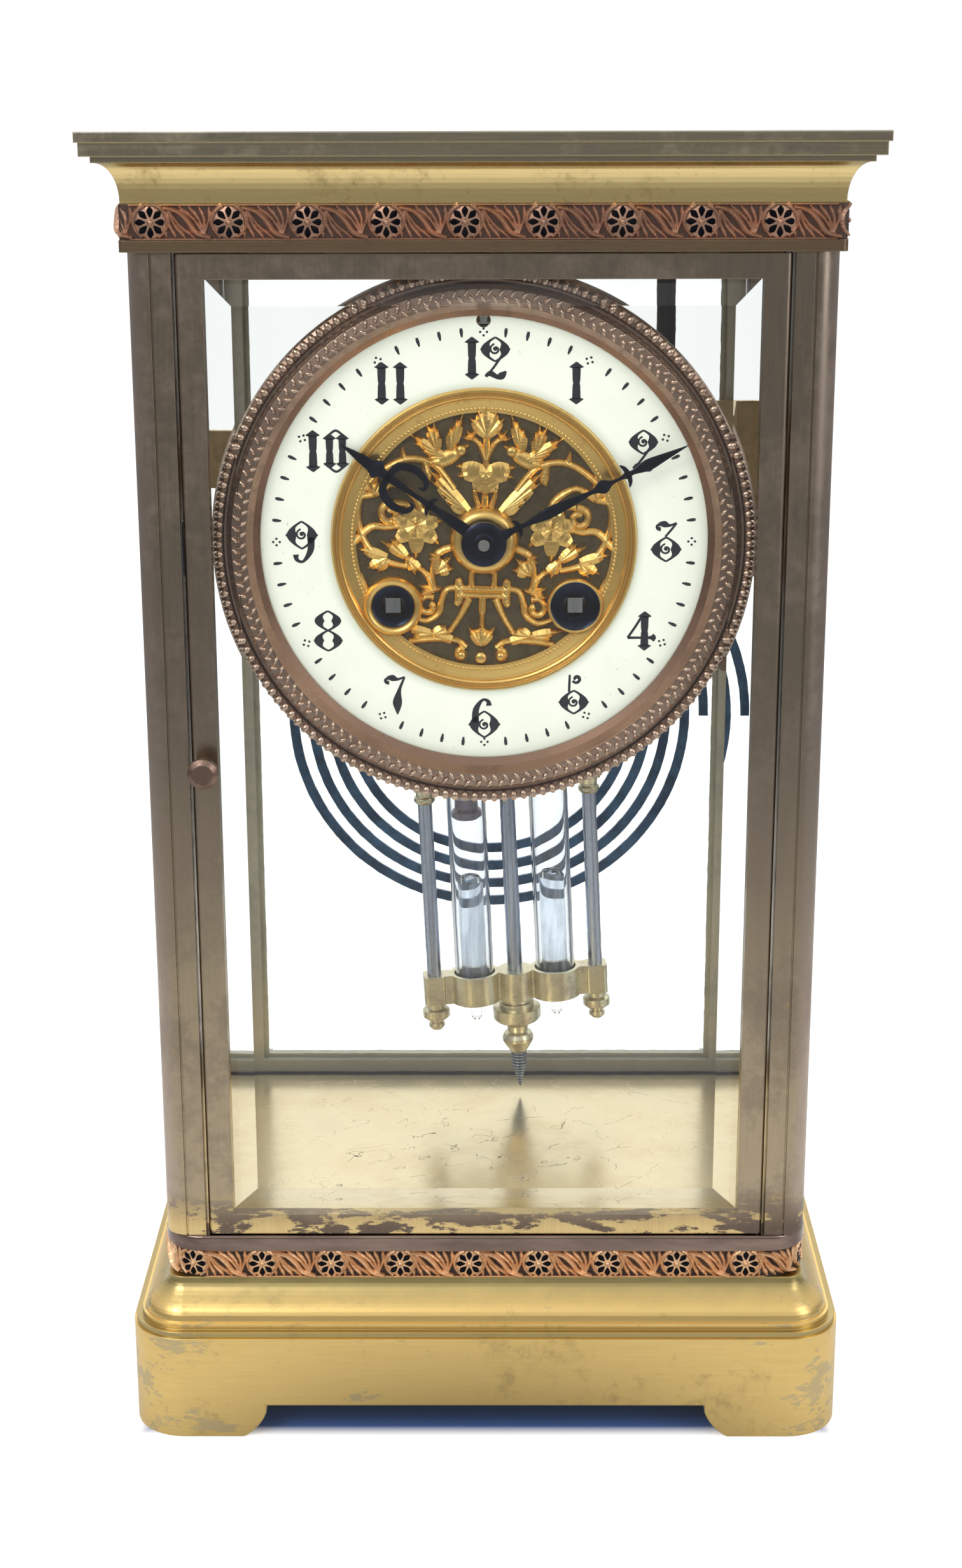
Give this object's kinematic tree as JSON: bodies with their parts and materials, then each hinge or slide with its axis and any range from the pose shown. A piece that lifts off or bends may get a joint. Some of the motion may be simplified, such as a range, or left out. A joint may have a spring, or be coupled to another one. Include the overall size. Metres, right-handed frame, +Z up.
{
  "type": "four-glass mantel clock",
  "caption": "Four-glass mantel clock: bevelled glass case on bracket feet, pierced gilt dial centre, spiral gong, twin glass-tube pendulum.",
  "frame": {"origin": "on the resting plane, under the middle of the feet", "axes": "+Z up, -Y the front (the dial side), +X to the right as seen from the front"},
  "size_m": [0.1616, 0.115, 0.289],
  "materials": {
    "base_brass": "brushed and tarnished, bright on edges",
    "edge_brass": "dull",
    "floor_brass": "polished, old lacquer",
    "copper_frieze": "cast and pierced, copper coloured",
    "patina_brass": "dark patina worn to gold in patches",
    "knob_brass": "turned",
    "pane_glass": "clear, bevelled",
    "screw_steel": "plain",
    "bezel_brass": "cast, copper brown",
    "enamel": "glossy fired enamel",
    "gilt": "gilt",
    "pan_brass": "dark, matt",
    "movement_brass": "brushed",
    "bracket_brass": "dull",
    "arbor_steel": "polished",
    "blued_steel": "blued steel",
    "gong_steel": "blued steel",
    "gong_iron": "dull",
    "rod_steel": "polished",
    "pendulum_brass": "dull, greenish",
    "tube_glass": "clear",
    "capsule_glass": "clear inner tube"
  },
  "bodies": {
    "case": {"plinth": "base_brass", "base_moulding": "base_brass", "base_frieze": "copper_frieze", "floor_plate": "floor_brass", "pillar_front_left": "patina_brass", "pillar_front_right": "patina_brass", "pillar_rear_left": "patina_brass", "pillar_rear_right": "patina_brass", "top_ledge": "edge_brass", "top_frieze": "copper_frieze", "cornice": "base_brass", "side_glass_left": "pane_glass", "side_glass_right": "pane_glass", "case_screws": "screw_steel", "door_hinge_pins": "screw_steel", "door_catches": "screw_steel", "dial_pan": "pan_brass", "enamel_dial": "enamel", "dial_centre": "gilt", "bezel": "bezel_brass", "front_plate": "movement_brass", "back_plate": "movement_brass", "plate_posts": "bracket_brass", "movement_brackets": "bracket_brass", "suspension_cock": "movement_brass", "gong": "gong_steel", "gong_block": "gong_iron"},
    "front_door": {"front_door_frame": "patina_brass", "front_door_glass": "pane_glass", "front_door_knob": "knob_brass"},
    "rear_door": {"rear_door_frame": "patina_brass", "rear_door_glass": "pane_glass", "rear_door_knob": "knob_brass"},
    "going_barrel": {"going_barrel": "movement_brass"},
    "going_arbor": {"going_arbor": "arbor_steel"},
    "intermediate": {"intermediate_wheel": "movement_brass"},
    "minute": {"centre_arbor": "movement_brass", "cannon_pinion": "movement_brass", "minute_hand": "blued_steel"},
    "motion": {"minute_wheel": "movement_brass"},
    "hour": {"hour_wheel": "movement_brass", "hour_hand": "blued_steel"},
    "third": {"third_wheel": "movement_brass"},
    "escape": {"escape_wheel": "movement_brass"},
    "anchor": {"pallet_anchor": "arbor_steel"},
    "strike_barrel": {"strike_barrel": "movement_brass"},
    "strike_arbor": {"strike_arbor": "arbor_steel"},
    "pin_wheel": {"pin_wheel": "movement_brass"},
    "warning": {"warning_wheel": "movement_brass"},
    "fly": {"fly": "movement_brass"},
    "hammer": {"hammer": "arbor_steel"},
    "regulator": {"regulator_arbor": "arbor_steel"},
    "pendulum": {"suspension_spring": "arbor_steel", "pendulum_rod": "rod_steel", "pendulum_brackets": "pendulum_brass", "side_rods": "rod_steel", "rod_nuts": "pendulum_brass", "glass_tubes": "tube_glass", "tube_capsules": "capsule_glass"},
    "rating_nut": {"rating_nut": "pendulum_brass"}
  },
  "joints": [
    {"name": "front_door_hinge", "type": "hinge", "parent": "case", "child": "front_door", "pos_m": [0.0615, -0.0479, 0.156], "axis": [0, 0, 1], "range_deg": [0, 100]},
    {"name": "rear_door_hinge", "type": "hinge", "parent": "case", "child": "rear_door", "pos_m": [-0.0615, 0.0479, 0.156], "axis": [0, 0, 1], "range_deg": [0, 100]},
    {"name": "minute_turn", "type": "hinge", "parent": "case", "child": "minute", "pos_m": [0, 0, 0.204], "axis": [0, 1, 0], "continuous": true},
    {"name": "motion_turn", "type": "hinge", "parent": "case", "child": "motion", "pos_m": [0, 0, 0.192], "axis": [0, 1, 0], "continuous": true},
    {"name": "hour_turn", "type": "hinge", "parent": "case", "child": "hour", "pos_m": [0, 0, 0.204], "axis": [0, 1, 0], "continuous": true},
    {"name": "intermediate_turn", "type": "hinge", "parent": "case", "child": "intermediate", "pos_m": [0.01244, 0, 0.21041], "axis": [0, 1, 0], "continuous": true},
    {"name": "going_barrel_turn", "type": "hinge", "parent": "case", "child": "going_barrel", "pos_m": [0.0195, 0, 0.19], "axis": [0, 1, 0], "continuous": true},
    {"name": "going_winding", "type": "hinge", "parent": "case", "child": "going_arbor", "pos_m": [0.0195, 0, 0.19], "axis": [0, 1, 0], "continuous": true},
    {"name": "third_turn", "type": "hinge", "parent": "case", "child": "third", "pos_m": [-0.00259, 0, 0.2174], "axis": [0, 1, 0], "continuous": true},
    {"name": "escape_turn", "type": "hinge", "parent": "case", "child": "escape", "pos_m": [0, 0, 0.2305], "axis": [0, 1, 0], "continuous": true},
    {"name": "strike_barrel_turn", "type": "hinge", "parent": "case", "child": "strike_barrel", "pos_m": [-0.0195, 0, 0.19], "axis": [0, 1, 0], "continuous": true},
    {"name": "strike_winding", "type": "hinge", "parent": "case", "child": "strike_arbor", "pos_m": [-0.0195, 0, 0.19], "axis": [0, 1, 0], "continuous": true},
    {"name": "pin_wheel_turn", "type": "hinge", "parent": "case", "child": "pin_wheel", "pos_m": [-0.02509, 0, 0.21086], "axis": [0, 1, 0], "continuous": true},
    {"name": "warning_turn", "type": "hinge", "parent": "case", "child": "warning", "pos_m": [-0.01994, 0, 0.22501], "axis": [0, 1, 0], "continuous": true},
    {"name": "fly_turn", "type": "hinge", "parent": "case", "child": "fly", "pos_m": [-0.01417, 0, 0.23501], "axis": [0, 1, 0], "continuous": true},
    {"name": "hammer_lift", "type": "hinge", "parent": "case", "child": "hammer", "pos_m": [-0.0371, 0, 0.2236], "axis": [0, 1, 0], "range_deg": [0, 12], "stiffness_Nm_per_rad": 0.02},
    {"name": "regulator_turn", "type": "hinge", "parent": "case", "child": "regulator", "pos_m": [0, 0, 0.2505], "axis": [0, 1, 0], "continuous": true},
    {"name": "pendulum_swing", "type": "hinge", "parent": "case", "child": "pendulum", "pos_m": [0, 0.032, 0.243], "axis": [0, 1, 0], "range_deg": [-1.4, 6.6]},
    {"name": "anchor_rock", "type": "hinge", "parent": "case", "child": "anchor", "pos_m": [0, 0, 0.243], "axis": [0, 1, 0], "range_deg": [-1.4, 6.6]},
    {"name": "rating_nut_turn", "type": "hinge", "parent": "pendulum", "child": "rating_nut", "pos_m": [0.00798, 0.032, 0.06718], "axis": [0.0454, 0, -0.999], "continuous": true}
  ],
  "couplings": [
    {"joint": "motion_turn", "follows": "minute_turn", "ratio": -0.33333},
    {"joint": "hour_turn", "follows": "minute_turn", "ratio": 0.083333},
    {"joint": "intermediate_turn", "follows": "minute_turn", "ratio": -0.11111},
    {"joint": "going_barrel_turn", "follows": "minute_turn", "ratio": 0.015873},
    {"joint": "third_turn", "follows": "minute_turn", "ratio": -12},
    {"joint": "escape_turn", "follows": "minute_turn", "ratio": 140.57},
    {"joint": "strike_barrel_turn", "follows": "pin_wheel_turn", "ratio": -0.14286},
    {"joint": "warning_turn", "follows": "pin_wheel_turn", "ratio": -9.75},
    {"joint": "fly_turn", "follows": "pin_wheel_turn", "ratio": 97.5},
    {"joint": "anchor_rock", "follows": "pendulum_swing", "ratio": 1}
  ]
}
